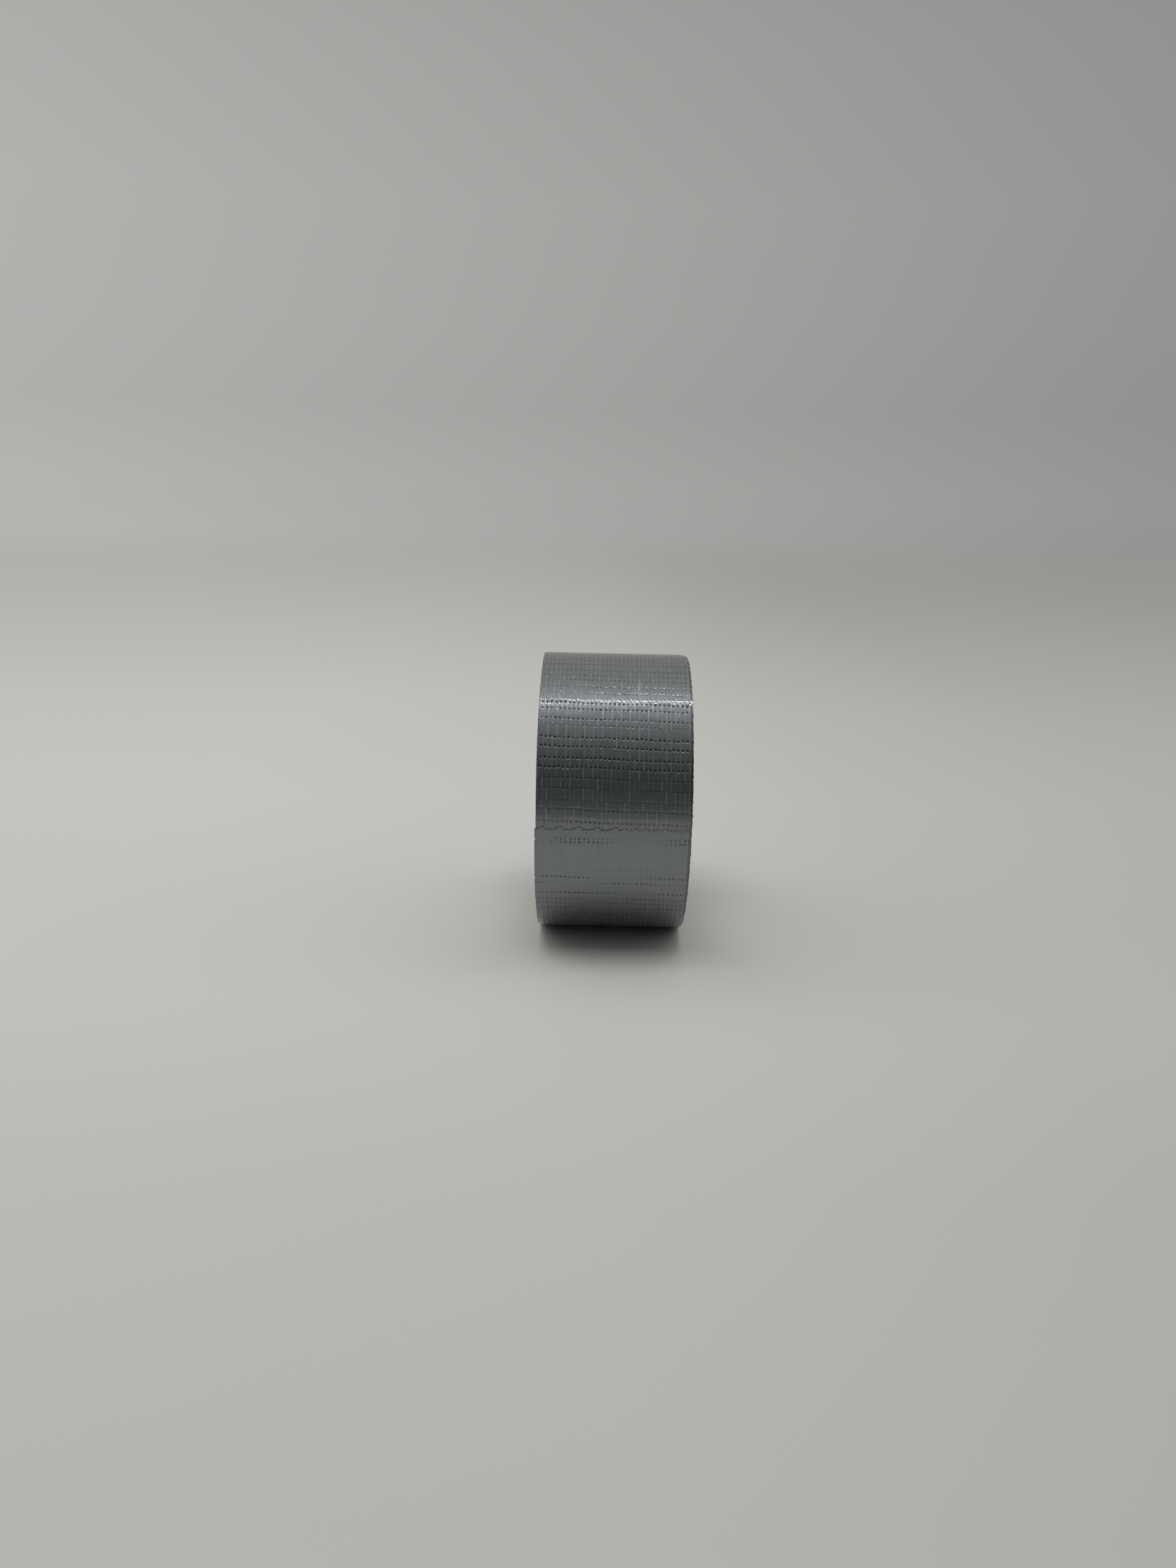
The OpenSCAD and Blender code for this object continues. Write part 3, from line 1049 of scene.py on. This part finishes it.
def pale_floor():
    """A wide matt floor with painted light, paler to the left and to the back, which fades far away into
    a glow in the tone of the room at the horizon.
    """
    bm = bmesh.new()
    bmesh.ops.create_circle(bm, cap_ends=True, segments=96, radius=FLOOR_R)
    paint = Finish("pale_paint")
    cloud = paint.noise(paint.object_map((3, 3, 3)), 1.0, 2.0)
    place = paint.object_map((1, 1, 1))
    # Painted light: the floor's colour is paler to the left and to the back
    lit = paint.ramp(paint.part(place, "X") + FLOOR_LEFT, *FLOOR_RIGHTWARDS)
    far_side = paint.ramp(paint.part(place, "Y") + FLOOR_FRONT, *FLOOR_BACKWARDS)
    shady = paint.blend(far_side, (0.53, 0.527, 0.508, 1), (0.73, 0.726, 0.70, 1))
    sunny = paint.blend(far_side, (0.68, 0.676, 0.655, 1), (0.94, 0.935, 0.905, 1))
    colour = paint.blend(0.85 * lit + 0.15 * cloud, shady, sunny)
    matt = paint.node("ShaderNodeBsdfPrincipled", None, {"Base Color": colour, "Roughness": 0.6})
    heading = paint.node("ShaderNodeVectorMath", {"operation": "NORMALIZE"}, {0: place})
    glow = HORIZON * left_glow(paint.part(heading, "X"))
    far = paint.node("ShaderNodeEmission", None, {"Color": ROOM_COLOUR, "Strength": glow})
    away = paint.node("ShaderNodeVectorMath", {"operation": "LENGTH"}, {0: place}, 1)
    share = paint.fade(away, *FAR_FLOOR)
    shown = paint.node("ShaderNodeMixShader", None, {0: share, 1: matt, 2: far})
    paint.node("ShaderNodeOutputMaterial", None, {"Surface": shown})
    piece("floor", bm, paint.material)


def dark_flag():
    """A dark sheet in front as painted shade for the dim front of the room, paler at its foot as a
    painted reflection blending into the floor. Only gloss shows it.
    """
    bm = bmesh.new()
    bmesh.ops.create_grid(bm, x_segments=1, y_segments=1, size=0.5)
    bmesh.ops.scale(bm, verts=bm.verts[:], vec=(FLAG_W, FLAG_H, 1))
    bmesh.ops.rotate(bm, verts=bm.verts[:], matrix=Matrix.Rotation(math.pi / 2, 3, "X"))
    bmesh.ops.translate(bm, verts=bm.verts[:], vec=(0, FLAG_Y, FLAG_H / 2 + MM))
    cloth = Finish("dark_cloth")
    height = cloth.part(cloth.object_map((1, 1, 1 / FLAG_H)), "Z")
    tone = cloth.ramp(height, *FLAG_TONES)
    flag = piece("flag", bm, cloth.surface(Base_Color=tone, Roughness=0.9))
    flag.visible_camera = False
    flag.visible_diffuse = False
    flag.visible_shadow = False


def lamp(name, place, size, watts, turn=(0, 0, 0)):
    """A rectangular lamp that shines down, or the way that it is turned."""
    data = bpy.data.lights.new(name, "AREA")
    data.shape = "RECTANGLE"
    data.size, data.size_y = size
    data.energy = watts
    made = bpy.data.objects.new(name, data)
    made.location = place
    made.rotation_euler = turn
    bpy.context.scene.collection.objects.link(made)
    return made


def hang_lamps():
    """Two narrow tubes and a softbox overhead, and a lamp at the back on the left."""
    for place in TUBES:
        lamp("tube", (0, place, TUBE_Z), TUBE_SIZE, TUBE_WATTS, (0, 0, TUBE_YAW))
    lamp("side", *SIDE_LAMP)
    softbox = lamp("softbox", *SOFTBOX)
    softbox.visible_glossy = False


def paint_room():
    """A room that is pale above and behind and dim in front, with a plain wall in the camera's view."""
    world = bpy.data.worlds.new("room")
    world.use_nodes = True
    room = Finish("room", world.node_tree)
    way = room.node("ShaderNodeTexCoord", None, None, "Generated")
    sideways = room.part(way, "X")
    back = room.part(way, "Y")
    up = room.part(way, "Z")
    turned = up.math("ARCTAN2", up, 0 - back) * (1 / math.pi)
    beside = room.fade(sideways.math("ABSOLUTE", sideways), *ROOM_SIDES)
    raised = room.fade(up, *ROOM_RAISED)
    tone = room.ramp(turned, *ROOM_TONES) * (1 - SIDE_DIM * beside * (1 - raised))
    wall = room.ramp(up, *WALL_TONES) * left_glow(sideways)
    behind = room.fade(back, *ROOM_BEHIND)
    to_camera = room.node("ShaderNodeLightPath", None, None, "Is Camera Ray")
    to_gloss = room.node("ShaderNodeLightPath", None, None, "Is Glossy Ray")
    to_glass = room.node("ShaderNodeLightPath", None, None, "Is Transmission Ray")
    shown = to_camera.math("MAXIMUM", to_camera, behind * (to_gloss + to_glass))
    strength = tone + shown * (wall - tone)
    shade = room.node("ShaderNodeBackground", None, {"Color": ROOM_COLOUR, "Strength": strength})
    room.node("ShaderNodeOutputWorld", None, {"Surface": shade})
    bpy.context.scene.world = world
    bpy.context.scene.view_settings.view_transform = "Standard"


set_camera()
lay_wound_tape()
lay_tail()
wind_core()
pale_floor()
dark_flag()
hang_lamps()
paint_room()
